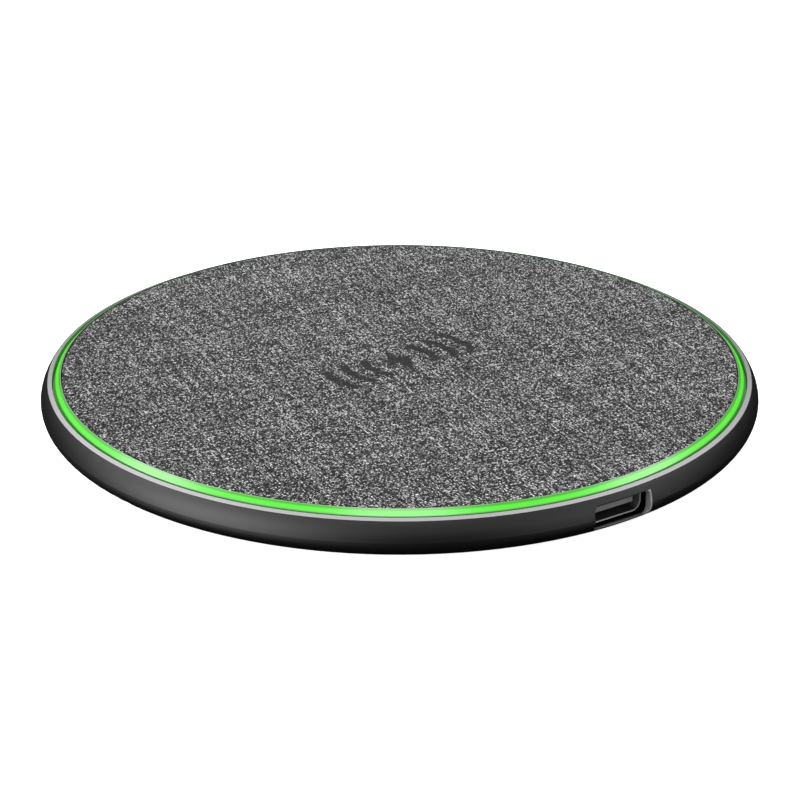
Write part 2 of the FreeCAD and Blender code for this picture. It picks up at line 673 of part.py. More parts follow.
def make_usb_c_contacts():
    """Twelve contacts on each face of the tongue, and their solder tails behind the block."""
    bars = []
    tip = -(dim.socket_back + dim.tongue_reach - dim.contact_setback)
    half_height = dim.tongue_thickness / 2
    board_top = dim.board_bottom + dim.board_thickness
    for index in range(12):
        offset = dim.contact_pitch * (index - 5.5)
        above = dim.port_level + half_height
        below = dim.port_level - half_height - dim.contact_thickness
        bars.append(contact_bar("contact_top_%d" % index, offset, tip, dim.contact_length, above,
                                dim.contact_thickness))
        bars.append(contact_bar("contact_low_%d" % index, offset, tip, dim.contact_length, below,
                                dim.contact_thickness))
        bars.append(contact_bar("contact_tail_%d" % index, offset, -dim.socket_back,
                                dim.tail_length + 0.2, board_top, dim.contact_thickness * 2))
    return group("usb_c_contacts", bars)


def make_board_chips():
    top = dim.board_bottom + dim.board_thickness
    controller = (dim.controller_side, dim.controller_side, dim.controller_height)
    mosfet = (dim.mosfet_side, dim.mosfet_side, dim.mosfet_height)
    resonant = (dim.resonant_length, dim.resonant_width, dim.resonant_height)
    inductor = (dim.inductor_side, dim.inductor_side, dim.inductor_height)
    bypass = (dim.bypass_length, dim.bypass_width, dim.bypass_height)
    resistor = (dim.resistor_length, dim.resistor_width, dim.resistor_height)
    outer_row = dim.board_outer - dim.resonant_length - 1.6
    return [
        polar_box("controller_ic", controller, outer_row - 2, 288, top),
        row_of_boxes("bridge_mosfets", mosfet, outer_row + 1, (298, 304), top),
        row_of_boxes("resonant_capacitors", resonant, outer_row, (240, 244, 256, 260), top),
        polar_box("power_inductor", inductor, outer_row + 0.5, 323, top),
        row_of_boxes("bypass_capacitors", bypass, dim.board_inner + 2.5,
                     range(281, 300, 3), top),
        row_of_boxes("chip_resistors", resistor, dim.board_inner + 5, range(239, 263, 2), top),
    ]


# ---- light ring -----------------------------------------------------------------------------

def make_lamp_board():
    body = new_body("led_board")
    plan = new_sketch(body, "XY_Plane", dim.board_ledge_level)
    draw_ring_sector(plan, dim.lamp_board_inner, dim.lamp_board_outer, dim.lamp_board_gap_angle,
                     True)
    pad(body, plan, dim.lamp_board_thickness)
    return body


def make_lamps():
    """The small lamps, evenly spread along the board's open ring."""
    gap = SIZES["lamp_board_gap_angle"] + 4
    step = (360 - 2 * gap) / (LAMP_COUNT - 1)
    angles = [-90 + gap + step * index for index in range(LAMP_COUNT)]
    size = (dim.lamp_length, dim.lamp_width, dim.lamp_height)
    top = dim.board_ledge_level + dim.lamp_board_thickness
    return row_of_boxes("leds", size, dim.lamp_circle, angles, top)


def make_led_ribbon():
    """The flat ribbon that rises from the main board and folds over the light ring's board."""
    body = new_body("led_ribbon")
    low = dim.board_bottom + dim.board_thickness
    high = dim.board_ledge_level + dim.lamp_board_thickness
    film = dim.ribbon_thickness
    side = new_sketch(body, "XZ_Plane", -(dim.ribbon_width / 2))
    draw_outline(side, [
        (dim.ribbon_foot, low), (dim.ribbon_riser, low), (dim.ribbon_riser, high),
        (dim.ribbon_tip, high), (dim.ribbon_tip, high + film), (dim.ribbon_riser - film, high + film),
        (dim.ribbon_riser - film, low + film), (dim.ribbon_foot, low + film),
    ])
    pad(body, side, dim.ribbon_width)
    body.Placement = FreeCAD.Placement(FreeCAD.Vector(), FreeCAD.Rotation(Z_AXIS, RIBBON_ANGLE))
    return body


# ---- screws ---------------------------------------------------------------------------------

def make_screw(label, length, circle, angle, seat, upward):
    """A pan-head screw with a cross recess. It points down from its seat, or up from it."""
    body = new_body(label)
    head = dim.screw_head_height
    revolve(body, [
        (0, -length), (dim.screw_radius * 0.5, -length), (dim.screw_radius, dim.screw_radius * 0.5
                                                         - length),
        (dim.screw_radius, 0), (dim.screw_head_radius, 0), (dim.screw_head_radius, head * 0.6),
        (dim.screw_head_radius * 0.75, head), (0, head),
    ])
    arm, half = dim.screw_head_radius * 0.5, dim.recess_width / 2
    for across, along in ((arm, half), (half, arm)):
        slot = new_sketch(body, "XY_Plane", head)
        draw_rectangle(slot, -across, across, -along, along)
        pocket(body, slot, dim.recess_depth)
    turn = FreeCAD.Rotation(FreeCAD.Vector(1, 0, 0), 180 if upward else 0)
    body.Placement = FreeCAD.Placement(FreeCAD.Vector(), turn)
    place_on_circle(body, circle, angle)
    body.setExpression("Placement.Base.z", seat.text)
    return body


def make_screws(label, length, circle, angles, seat, upward=False):
    screws = [make_screw("%s_%d" % (label, index), length, circle, angle, seat, upward)
              for index, angle in enumerate(angles, 1)]
    return group(label, screws)


# ---- the whole pad --------------------------------------------------------------------------

def build():
    ferrite_top = dim.carrier_floor + dim.ferrite_thickness
    coil_top = ferrite_top + dim.coil_glue + dim.coil_thickness
    nodes = [
        make_housing_shell(), make_trim_ring(), make_light_guide_ring(), make_top_cover(),
        disc("fabric_adhesive", dim.glue_radius, dim.cover_top, dim.cloth_bottom),
        disc("fabric_top", dim.cloth_radius, dim.cloth_bottom, dim.pad_height),
        make_antislip_pad(),
        disc("pad_adhesive", dim.foot_glue_radius, dim.foot_top, dim.recess_roof),
        make_coil_carrier(),
        disc("ferrite_disc", dim.ferrite_radius, dim.carrier_floor, ferrite_top),
        make_charging_coil(),
        disc("coil_film", dim.film_radius, coil_top, coil_top + dim.film_thickness),
        make_coil_leads(), make_thermistor(), make_main_pcb(), make_usb_c_shell(),
        make_usb_c_tongue(), make_usb_c_contacts(), make_lamp_board(), make_lamps(),
        make_led_ribbon(),
        make_screws("cover_screws", dim.cover_screw_length, dim.boss_circle, COVER_SCREW_ANGLES,
                    dim.recess_roof + dim.screw_head_depth, upward=True),
        make_screws("carrier_screws", dim.inner_screw_length, dim.carrier_ear_circle,
                    CARRIER_EAR_ANGLES, dim.carrier_floor),
        make_screws("board_screws", dim.inner_screw_length, dim.board_post_circle,
                    BOARD_POST_ANGLES, dim.board_bottom + dim.board_thickness),
    ]
    return nodes + make_board_chips()


def check(nodes):
    """Stops if any object failed to compute, or a sub-part is empty or not a sound solid."""
    for item in doc.Objects:
        if "Invalid" in item.State or "Error" in item.State:
            raise ValueError("%s did not compute: %s" % (item.Name, item.State))
    for node in nodes:
        shape = node.Shape
        if shape.isNull() or not shape.isValid() or not shape.Solids:
            raise ValueError("%s has no valid solid" % node.Label)


def export(nodes):
    os.makedirs("parts", exist_ok=True)
    for node in nodes:
        node.Shape.exportStep("parts/%s.step" % node.Label)
        box = node.Shape.BoundBox
        print("%-22s %2d solids, %9.2f mm3, z %.2f to %.2f" % (
            node.Label, len(node.Shape.Solids), node.Shape.Volume, box.ZMin, box.ZMax))


fill_sheet()
all_nodes = build()
doc.recompute()
check(all_nodes)
export(all_nodes)
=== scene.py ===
import json
import math

import bmesh
import bpy
import numpy as np
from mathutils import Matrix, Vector


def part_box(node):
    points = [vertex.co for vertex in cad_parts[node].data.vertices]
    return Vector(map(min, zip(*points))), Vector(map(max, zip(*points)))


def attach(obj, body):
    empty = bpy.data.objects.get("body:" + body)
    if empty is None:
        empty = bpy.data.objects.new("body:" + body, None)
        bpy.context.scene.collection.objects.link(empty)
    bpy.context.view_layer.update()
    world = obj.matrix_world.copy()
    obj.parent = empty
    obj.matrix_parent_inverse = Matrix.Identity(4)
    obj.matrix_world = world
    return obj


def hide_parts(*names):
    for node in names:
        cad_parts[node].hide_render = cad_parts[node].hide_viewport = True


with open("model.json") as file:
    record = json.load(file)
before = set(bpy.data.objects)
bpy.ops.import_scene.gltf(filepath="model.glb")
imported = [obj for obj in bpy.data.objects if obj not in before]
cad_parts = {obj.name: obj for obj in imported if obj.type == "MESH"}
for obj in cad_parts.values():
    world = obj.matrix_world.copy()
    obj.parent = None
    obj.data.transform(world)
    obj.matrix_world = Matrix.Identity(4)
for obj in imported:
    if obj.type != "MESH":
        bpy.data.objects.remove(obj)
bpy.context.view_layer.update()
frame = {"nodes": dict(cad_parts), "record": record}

MM = 0.001

# The camera of the product picture. Its angle and aim were fitted to the pad's round rims. They
# don't settle its distance, which is a rough estimate that the lens goes with.
CAMERA_AZIMUTH = math.radians(-34.4)
CAMERA_ELEVATION = math.radians(22.68)
CAMERA_DISTANCE = 350 * MM
CAMERA_LENS = 111.8
AIM_BELOW_TOP = 5.6 * MM
CAMERA_SHIFT = 0.0005

# The cloth, as woven: fine warp threads run along WARP_ANGLE, and coarser weft threads across it.
WARP_ANGLE = math.radians(80)
WARP_PITCH = 0.22 * MM
WEFT_PITCH = 0.44 * MM
WEAVE_RISE = 0.05 * MM
MARK_ANGLE = math.radians(6.6)

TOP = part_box("light_guide_ring")[1].z
CLOTH_LOW, CLOTH_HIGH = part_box("fabric_top")
CLOTH_RADIUS = CLOTH_HIGH.x
CLOTH_EDGE_WIDTH = 0.5 * MM
CLOTH_EDGE_FALL = 0.06 * MM
CLOTH_SIDE_BOTTOM = CLOTH_LOW.z + 0.18 * MM
CLOTH_UNDERSIDE_INSET = 0.05 * MM
WELD_DISTANCE = 0.01 * MM
GUIDE_FOOT = TOP - 0.75 * MM
GUIDE_LIP = CLOTH_RADIUS + 0.16 * MM
MOUTH_BACK = 49.0 * MM
MOUTH_WIDTH, MOUTH_HEIGHT, MOUTH_LEVEL = 8.9 * MM, 3.14 * MM, 4.34 * MM

# Softboxes: name, degrees to the right of the camera, elevation, width, height, power in watts.
SOFTBOX_DISTANCE = 0.70
SOFTBOX_TARGET = Vector((0, 0, 4 * MM))
SOFTBOXES = (("high_front", 0, 67, 0.30, 0.22, 1.5),
             ("high_left", -101, 43, 0.34, 0.30, 2.2),
             ("high_right", 101, 43, 0.34, 0.30, 1.9))
FLOOR_HALF_SIZE = 4
FLOOR_DROP = 0.02 * MM


# ---- node helpers ---------------------------------------------------------------------------

class Nodes:
    """Adds nodes to a tree, with short calls for the nodes used here."""

    def __init__(self, tree):
        self.tree = tree

    def new(self, kind, **settings):
        node = self.tree.nodes.new(kind)
        for key, value in settings.items():
            setattr(node, key, value)
        return node

    def plug(self, value, socket):
        """Links an output to a socket, or sets the socket to a plain value."""
        if isinstance(value, bpy.types.NodeSocket):
            self.tree.links.new(value, socket)
        else:
            socket.default_value = value

    def math(self, operation, first, second=0.0, third=0.0):
        node = self.new("ShaderNodeMath", operation=operation)
        for index, value in enumerate((first, second, third)):
            self.plug(value, node.inputs[index])
        return node.outputs[0]

    def position(self):
        return self.new("ShaderNodeTexCoord").outputs["Object"]

    def turned(self, vector, angle=0.0, scale=(1, 1, 1)):
        node = self.new("ShaderNodeMapping")
        self.plug(vector, node.inputs["Vector"])
        node.inputs["Rotation"].default_value = (0, 0, -angle)
        if scale != (1, 1, 1):
            outer = self.new("ShaderNodeVectorMath", operation="MULTIPLY")
            self.plug(node.outputs[0], outer.inputs[0])
            outer.inputs[1].default_value = scale
            return outer.outputs[0]
        return node.outputs[0]

    def parts(self, vector):
        node = self.new("ShaderNodeSeparateXYZ")
        self.plug(vector, node.inputs[0])
        return node.outputs

    def joined(self, x=0.0, y=0.0, z=0.0):
        node = self.new("ShaderNodeCombineXYZ")
        for value, socket in zip((x, y, z), node.inputs):
            self.plug(value, socket)
        return node.outputs[0]

    def span(self, x, y):
        """Distance from the Z axis, or from the middle of the mark."""
        return self.math("SQRT", self.math("ADD", self.math("MULTIPLY", x, x),
                                           self.math("MULTIPLY", y, y)))

    def noise(self, vector, scale, detail=2.0, roughness=0.5):
        node = self.new("ShaderNodeTexNoise")
        self.plug(vector, node.inputs["Vector"])
        node.inputs["Scale"].default_value = scale
        node.inputs["Detail"].default_value = detail
        node.inputs["Roughness"].default_value = roughness
        return node.outputs["Fac"]

    def random(self, *values):
        """A steady random number for each cell of up to three whole numbers."""
        node = self.new("ShaderNodeTexWhiteNoise", noise_dimensions="3D")
        self.plug(self.joined(*values), node.inputs["Vector"])
        return node.outputs["Value"]

    def spread(self, value, low, high, to_low=0.0, to_high=1.0):
        node = self.new("ShaderNodeMapRange")
        for index, item in enumerate((value, low, high, to_low, to_high)):
            self.plug(item, node.inputs[index])
        return node.outputs[0]

    def mix(self, factor, first, second):
        node = self.new("ShaderNodeMix", data_type="RGBA")
        self.plug(factor, node.inputs[0])
        self.plug(first, node.inputs[6])
        self.plug(second, node.inputs[7])
        return node.outputs[2]

    def ramp(self, value, stops):
        node = self.new("ShaderNodeValToRGB")
        self.plug(value, node.inputs[0])
        line = node.color_ramp
        for index, (place, colour) in enumerate(stops):
            stop = line.elements[index] if index < 2 else line.elements.new(place)
            stop.position = place
            stop.color = (*colour, 1)
        return node.outputs[0]


class Surface(Nodes):
    """A new material and its nodes."""

    def __init__(self, name):
        self.material = bpy.data.materials.new(name)
        self.material.use_nodes = True
        super().__init__(self.material.node_tree)
        self.shader = self.tree.nodes["Principled BSDF"]

    def bump(self, height, distance, strength):
        node = self.new("ShaderNodeBump")
        node.inputs["Strength"].default_value = strength
        node.inputs["Distance"].default_value = distance
        self.plug(height, node.inputs["Height"])
        self.plug(node.outputs[0], self.shader.inputs["Normal"])

    def set(self, **values):
        """Sets the shader's inputs, named with _ for a space, and returns the material."""
        for key, value in values.items():
            self.plug(value, self.shader.inputs[key.replace("_", " ")])
        return self.material


def grey(value):
    return (value, value, value, 1)


def rgb(*values):
    return (*values, 1)


# ---- materials ------------------------------------------------------------------------------

def thread_place(nodes, place, wander):
    """The number of the thread at a place, and how far from its middle the place is, -0.5 to 0.5."""
    shifted = nodes.math("MULTIPLY_ADD", nodes.math("SUBTRACT", wander, 0.5), 0.5, place)
    number = nodes.math("ROUND", shifted)
    return number, nodes.math("SUBTRACT", shifted, number)


def crown(nodes, offset):
    """1 on the crown of a thread, falling to 0 at its sides."""
    return nodes.math("SUBTRACT", 1.0, nodes.math("POWER", nodes.math("ABSOLUTE",
                      nodes.math("MULTIPLY", offset, 2.0)), 2.0))


def thread_tone(nodes, number, place, stretch, seed):
    """A grey for each thread that drifts along it, from 0 to 1."""
    own = nodes.random(number, seed)
    drift = nodes.noise(nodes.joined(nodes.math("MULTIPLY", place, stretch),
                                     nodes.math("MULTIPLY", number, 7.3), seed), 1.0, 2.0, 0.6)
    return nodes.math("MULTIPLY_ADD", own, THREAD_OWN,
                      nodes.spread(drift, 0.25, 0.75, 0.0, THREAD_DRIFT))


# How strongly each effect moves the cloth's grey, and how often a thread floats over two others.
THREAD_OWN, THREAD_DRIFT = 0.42, 0.16
STITCH_SHARE, FLECK_SHARE, FIBRE_SHARE, SLUB_SHARE = 0.32, 1.0, 0.5, 0.34
FLECKS_PER_STITCH = 2.3
FLOAT_SHARE = 0.28
WEFT_DIMMING = 0.80
INK_COVER = 0.92
CLOTH_GREYS = ((0.0, (0.004, 0.004, 0.004)), (0.2, (0.026, 0.026, 0.027)),
               (0.42, (0.108, 0.108, 0.109)), (1.0, (0.72, 0.72, 0.72)))
# Each random draw has its own seed, so that no two of them agree.
WARP_SEED, WEFT_SEED, STITCH_SEED, FLECK_SEED, FLOAT_SEED = 11.0, 23.0, 3.0, 5.0, 8.0


def nudge(nodes, value, share, level):
    """Moves a level up or down by a share of a value that lies round 0.5."""
    return nodes.math("MULTIPLY_ADD", nodes.math("SUBTRACT", value, 0.5), share, level)


def cloth_material():
    """Heather cloth: each thread has its own grey, and light slubs run along some warp threads."""
    nodes = Surface("heather_cloth")
    u, v, _ = nodes.parts(nodes.turned(nodes.position(), WARP_ANGLE))
    along = nodes.math("DIVIDE", u, WEFT_PITCH)
    across = nodes.math("DIVIDE", v, WARP_PITCH)
    plane = nodes.joined(along, across)
    weft_row, from_weft = thread_place(nodes, along, nodes.noise(plane, 0.21, 2.0))
    warp_row, from_warp = thread_place(nodes, across, nodes.noise(plane, 0.17, 2.0))
    stitch = nodes.random(weft_row, warp_row, STITCH_SEED)
    parity = nodes.math("ABSOLUTE", nodes.math("MODULO",
                        nodes.math("ADD", weft_row, warp_row), 2.0))
    # now and then a thread floats over two others, which breaks the weave's regular pattern
    float_over = nodes.math("GREATER_THAN", nodes.random(warp_row, weft_row, FLOAT_SEED),
                            1 - FLOAT_SHARE)
    warp_up = nodes.math("GREATER_THAN", nodes.math("ABSOLUTE",
                         nodes.math("SUBTRACT", parity, float_over)), 0.5)
    relief = nodes.math("MULTIPLY", crown(nodes, from_warp), crown(nodes, from_weft))
    warp_tone = thread_tone(nodes, warp_row, along, 0.10, WARP_SEED)
    weft_tone = thread_tone(nodes, weft_row, across, 0.08, WEFT_SEED)
    tone = nodes.new("ShaderNodeMix", data_type="FLOAT")
    nodes.plug(warp_up, tone.inputs[0])
    nodes.plug(nodes.math("MULTIPLY", weft_tone, WEFT_DIMMING), tone.inputs[2])
    nodes.plug(warp_tone, tone.inputs[3])
    slub_drift = nodes.noise(nodes.joined(nodes.math("MULTIPLY", along, 0.10),
                                          nodes.math("MULTIPLY", warp_row, 3.7)), 1.0, 2.0, 0.5)
    slub = nodes.math("MULTIPLY", nodes.spread(slub_drift, 0.64, 0.69),
                      nodes.spread(stitch, 0.0, 0.4, 0.5, 1.0))
    fibre = nodes.noise(nodes.turned(nodes.position(), WARP_ANGLE, (3600, 7000, 3600)), 1.0, 1.0)
    fleck = nodes.random(nodes.math("ROUND", nodes.math("MULTIPLY", along, FLECKS_PER_STITCH)),
                         warp_row, FLECK_SEED)
    level = nudge(nodes, stitch, STITCH_SHARE, tone.outputs[0])
    level = nudge(nodes, fleck, FLECK_SHARE, level)
    level = nudge(nodes, fibre, FIBRE_SHARE, level)
    level = nodes.math("MULTIPLY_ADD", slub, SLUB_SHARE, level)
    # painted shade: the grey is darkened towards the sides of each thread's crown, where the gaps
    # between the threads lie in shade
    level = nodes.math("MULTIPLY", level, nodes.spread(relief, 0.0, 0.8, 0.40, 1.15))
    colour = nodes.ramp(level, CLOTH_GREYS)
    ink = nodes.mix(INK_COVER, colour, rgb(0.008, 0.008, 0.009))
    colour = nodes.mix(mark_mask(nodes), colour, ink)
    height = nodes.math("MULTIPLY_ADD", fibre, 0.3, relief)
    nodes.bump(height, 0.04 * MM, 0.4)
    return nodes.set(Base_Color=colour, Roughness=0.85, Specular_IOR_Level=0.2,
                     Sheen_Weight=0.04, Sheen_Roughness=0.5)


def half_plane(nodes, x, y, start, end):
    """Distance to the left of a line, in millimetres."""
    way = (end - start).normalized()
    offset = -(start.x * -way.y + start.y * way.x)
    return nodes.math("ADD", nodes.math("ADD", nodes.math("MULTIPLY", x, -way.y),
                                        nodes.math("MULTIPLY", y, way.x)), offset)


def triangle(nodes, x, y, corners):
    """Above 0 inside a triangle whose corners go anticlockwise."""
    sides = [half_plane(nodes, x, y, Vector(corners[i]), Vector(corners[(i + 1) % 3]))
             for i in range(3)]
    return nodes.math("MINIMUM", nodes.math("MINIMUM", sides[0], sides[1]), sides[2])


# The printed sign's sizes, in millimetres.
MARK_HALF_HEIGHT = 3.7
MARK_ARCS = (5.0, 8.1, 11.2)
MARK_STROKE = 1.25
MARK_ARC_REACH = math.radians(40)
BOLT_UPPER = ((0.9, 4.3), (-2.5, -0.7), (0.5, -0.7))
BOLT_LOWER = ((-0.9, -4.3), (2.5, 0.7), (-0.5, 0.7))


def mark_mask(nodes):
    """1 where the generic charging sign is printed: a bolt between three arcs on each side."""
    u, v, _ = nodes.parts(nodes.turned(nodes.position(), MARK_ANGLE))
    x, y = nodes.math("DIVIDE", u, MM), nodes.math("DIVIDE", v, MM)
    bolt = nodes.math("MAXIMUM", triangle(nodes, x, y, BOLT_UPPER),
                      triangle(nodes, x, y, BOLT_LOWER))
    span = nodes.span(x, y)
    arcs = None
    for radius in MARK_ARCS:
        ring = nodes.math("SUBTRACT", MARK_STROKE / 2,
                          nodes.math("ABSOLUTE", nodes.math("SUBTRACT", span, radius)))
        arcs = ring if arcs is None else nodes.math("MAXIMUM", arcs, ring)
    slant = nodes.math("ARCTAN2", nodes.math("ABSOLUTE", y), nodes.math("ABSOLUTE", x))
    fan = nodes.math("MULTIPLY", nodes.math("SUBTRACT", MARK_ARC_REACH, slant), 6.0)
    low = nodes.math("SUBTRACT", MARK_HALF_HEIGHT, nodes.math("ABSOLUTE", y))
    arcs = nodes.math("MINIMUM", nodes.math("MINIMUM", arcs, fan), low)
    sign = nodes.math("MAXIMUM", bolt, arcs)
    ragged = nodes.noise(nodes.position(), 2600.0, 2.0)
    return nodes.spread(nudge(nodes, ragged, 0.25, sign), -0.05, 0.10)


def shell_material():
    """Satin black. A painted highlight lies on the edge round the inlet's mouth: pale at its +X end,
    palest on the outer part of it there, and dim elsewhere. Painted shade makes the room behind the
    mouth a near-black, matt metal."""
    nodes = Surface("black_shell")
    x, y, z = nodes.parts(nodes.position())
    aside = nodes.math("ABSOLUTE", x)
    beyond = [nodes.math("SUBTRACT", aside, MOUTH_WIDTH / 2),
              nodes.math("SUBTRACT", nodes.math("ABSOLUTE", nodes.math("SUBTRACT", z, MOUTH_LEVEL)),
                         MOUTH_HEIGHT / 2)]
    beyond = nodes.math("MAXIMUM", *beyond)
    facing = nodes.math("LESS_THAN", y, -40 * MM)
    # painted highlight: a band round the mouth's edge, lighter than the shell, stands in for light
    # on its rounding
    painted_highlight_band = nodes.math("MULTIPLY", nodes.spread(beyond, 0.20 * MM, 0.14 * MM), nodes.math(
        "MULTIPLY", facing, nodes.math("GREATER_THAN", x, MOUTH_WIDTH / -2 + 0.1 * MM)))
    # the painted highlight is pale at the mouth's +X end and palest on the outer part of the
    # rounding there
    side = nodes.spread(x, MOUTH_WIDTH / 2 - 0.7 * MM, MOUTH_WIDTH / 2 - 0.1 * MM)
    corner = nodes.spread(beyond, 0.02 * MM, 0.08 * MM)
    # painted shade: the room behind the mouth is made a near-black, matt metal that mirrors almost
    # nothing
    painted_shade_behind_mouth = nodes.math("MULTIPLY", facing, nodes.math("MULTIPLY", nodes.math(
        "GREATER_THAN", y, -MOUTH_BACK - 0.01 * MM), nodes.math("LESS_THAN", aside, 6 * MM)))
    grain = nodes.noise(nodes.position(), 9000.0, 2.0)
    cloudy = nodes.noise(nodes.position(), 60.0, 3.0)
    colour = nodes.mix(cloudy, rgb(0.0035, 0.0035, 0.0037), rgb(0.005, 0.005, 0.0052))
    pale = nodes.mix(side, rgb(0.022, 0.022, 0.022),
                     nodes.mix(corner, rgb(0.16, 0.16, 0.16), rgb(0.34, 0.34, 0.34)))
    colour = nodes.mix(painted_highlight_band, colour, pale)
    colour = nodes.mix(painted_shade_behind_mouth, colour, rgb(0.0008, 0.0008, 0.0008))
    satin = nodes.spread(grain, 0.2, 0.8, 0.34, 0.42)
    nodes.bump(grain, 0.006 * MM, 0.3)
    return nodes.set(Base_Color=colour, Metallic=painted_shade_behind_mouth,
                     Roughness=nodes.math("MAXIMUM", satin, nodes.math("MULTIPLY", painted_shade_behind_mouth, 0.9)),
                     Specular_IOR_Level=0.5)


def trim_material():
    """Bright turned metal, with fine lines round the ring."""
    nodes = Surface("bright_trim")
    x, y, z = nodes.parts(nodes.position())
    span = nodes.span(x, y)
    lines = nodes.noise(nodes.joined(nodes.math("MULTIPLY", span, 30000.0),
                                     nodes.math("MULTIPLY", z, 30000.0)), 1.0, 2.0)
    colour = nodes.mix(lines, rgb(0.74, 0.74, 0.75), rgb(0.84, 0.84, 0.85))
    nodes.bump(lines, 0.002 * MM, 0.3)
    return nodes.set(Base_Color=colour, Metallic=1.0,
                     Roughness=nodes.spread(lines, 0.2, 0.8, 0.30, 0.40))


def guide_material():
    """Milky moulding that glows green on its sloping face, with painted shade dimming the glow near
    its foot; its flat inner lip only catches light, and its paler top edge is partly a painted
    highlight.
    """
    nodes = Surface("light_guide")
    x, y, z = nodes.parts(nodes.position())
    turn = nodes.math("ARCTAN2", y, x)
    ripple = nodes.noise(nodes.joined(nodes.math("MULTIPLY", turn, 6.0), z), 1.0, 2.0)
    colour = nodes.mix(ripple, rgb(0.085, 0.86, 0.022), rgb(0.115, 0.92, 0.036))
    below_lip = nodes.spread(z, TOP, TOP - 0.32 * MM)
    outside = nodes.spread(nodes.span(x, y), GUIDE_LIP, GUIDE_LIP + 0.05 * MM)
    # painted shade: the glow is dimmed towards the foot, where the gap by the trim lies in shade
    above_seat = nodes.spread(z, GUIDE_FOOT - 0.04 * MM, GUIDE_FOOT + 0.14 * MM, 0.16, 1.0)
    lit = nodes.math("MULTIPLY", nodes.math("MULTIPLY", below_lip, outside), above_seat)
    # the top edge's paler colour is partly the milky moulding's own colour and partly a painted
    # highlight along that edge
    edge = nodes.spread(z, TOP - 0.03 * MM, TOP - 0.10 * MM)
    body = nodes.mix(edge, rgb(0.20, 0.27, 0.19), rgb(0.02, 0.11, 0.012))
    return nodes.set(Base_Color=body, Emission_Color=colour,
                     Emission_Strength=nodes.math("MULTIPLY", lit, 0.84), Roughness=0.22,
                     Specular_IOR_Level=0.6)


def steel_material():
    """Drawn steel, bright at the socket's front edge. Behind that edge painted shade makes it dark
    and matt, and painted light makes it lighter towards its two ends.
    """
    nodes = Surface("bright_steel")
    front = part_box("usb_c_shell")[0].y
    x, y, _ = nodes.parts(nodes.position())
    lines = nodes.noise(nodes.position(), 6000.0, 3.0)
    # painted shade: everything behind the socket's front edge is made dark, matt and hardly metallic
    inside = nodes.spread(y, front + 0.01 * MM, front + 0.05 * MM)
    # painted light: the inside is lighter towards the socket's two ends
    side = nodes.spread(nodes.math("ABSOLUTE", x), 3.5 * MM, 4.2 * MM)
    bright = nodes.mix(lines, rgb(0.86, 0.86, 0.87), rgb(0.96, 0.96, 0.97))
    painted_shade_grey = nodes.mix(side, rgb(0.022, 0.022, 0.022), rgb(0.10, 0.10, 0.10))
    metal = nodes.math("MULTIPLY", nodes.math("SUBTRACT", 1.0, inside), 0.35)
    return nodes.set(Base_Color=nodes.mix(inside, bright, painted_shade_grey), Metallic=metal,
                     Roughness=nodes.math("MAXIMUM", nodes.spread(lines, 0.2, 0.8, 0.36, 0.46),
                                          nodes.math("MULTIPLY", inside, 0.8)))


def plain_material(name, colour, roughness, metallic=0.0, scale=800.0, depth=0.01 * MM):
    """Mottled colour and a faint surface grain, for the pieces inside and underneath."""
    nodes = Surface(name)
    cloudy = nodes.noise(nodes.position(), scale, 4.0)
    dark, light = [tuple(part * share for part in colour) for share in (0.82, 1.15)]
    mixed = nodes.mix(cloudy, rgb(*dark), rgb(*light))
    nodes.bump(cloudy, depth, 0.3)
    return nodes.set(Base_Color=mixed, Metallic=metallic,
                     Roughness=nodes.spread(cloudy, 0.2, 0.8, roughness * 0.85, roughness * 1.15))


# ---- mesh helpers ---------------------------------------------------------------------------

def link(name, data):
    """Puts a new object with this mesh, lamp or camera into the scene."""
    thing = bpy.data.objects.new(name, data)
    bpy.context.scene.collection.objects.link(thing)
    return thing


def round_off(thing, angle):
    """Shades a piece smooth, apart from its edges that turn more than the angle in degrees."""
    bpy.context.view_layer.objects.active = thing
    thing.select_set(True)
    bpy.ops.object.shade_auto_smooth(angle=math.radians(angle))
    thing.select_set(False)


def weave_height(u, v):
    """Height of the cloth at places along and across its warp: a plain weave's raised crossings."""
    return np.cos(math.pi * u / WEFT_PITCH) * np.cos(math.pi * v / WARP_PITCH)


def woven_grid():
    """Points and quads of the cloth's top face: a fine grid laid along its threads and trimmed
    round.
    """
    steps = (WEFT_PITCH, WARP_PITCH)
    axes = [np.arange(-int(CLOTH_RADIUS / step) - 2, int(CLOTH_RADIUS / step) + 3) * step
            for step in steps]
    u, v = np.meshgrid(*axes, indexing="ij")
    span = np.hypot(u, v)
    inside = span <= CLOTH_RADIUS - 0.25 * WARP_PITCH
    corners = inside[:-1, :-1] | inside[1:, :-1] | inside[:-1, 1:] | inside[1:, 1:]
    used = np.zeros_like(inside)
    for di, dj in ((0, 0), (1, 0), (0, 1), (1, 1)):
        used[di:used.shape[0] - 1 + di, dj:used.shape[1] - 1 + dj] |= corners
    pull = np.where(inside, 1.0, CLOTH_RADIUS / np.maximum(span, WARP_PITCH))
    height = CLOTH_HIGH.z - WEAVE_RISE * (1 - weave_height(u, v)) / 2
    height = np.where(inside, height, CLOTH_HIGH.z - WEAVE_RISE * 1.5)
    past_flat = (span - (CLOTH_RADIUS - CLOTH_EDGE_WIDTH)) / CLOTH_EDGE_WIDTH
    height = height - np.clip(past_flat, 0, 1) ** 2 * CLOTH_EDGE_FALL
    cos, sin = math.cos(WARP_ANGLE), math.sin(WARP_ANGLE)
    u, v = u * pull, v * pull
    x, y = u * cos - v * sin, u * sin + v * cos
    index = -np.ones(used.shape, int)
    index[used] = np.arange(used.sum())
    points = np.stack([x[used], y[used], height[used]], 1)
    i, j = np.nonzero(corners)
    quads = np.stack([index[i, j], index[i + 1, j], index[i + 1, j + 1], index[i, j + 1]], 1)
    return points.tolist(), quads.tolist()


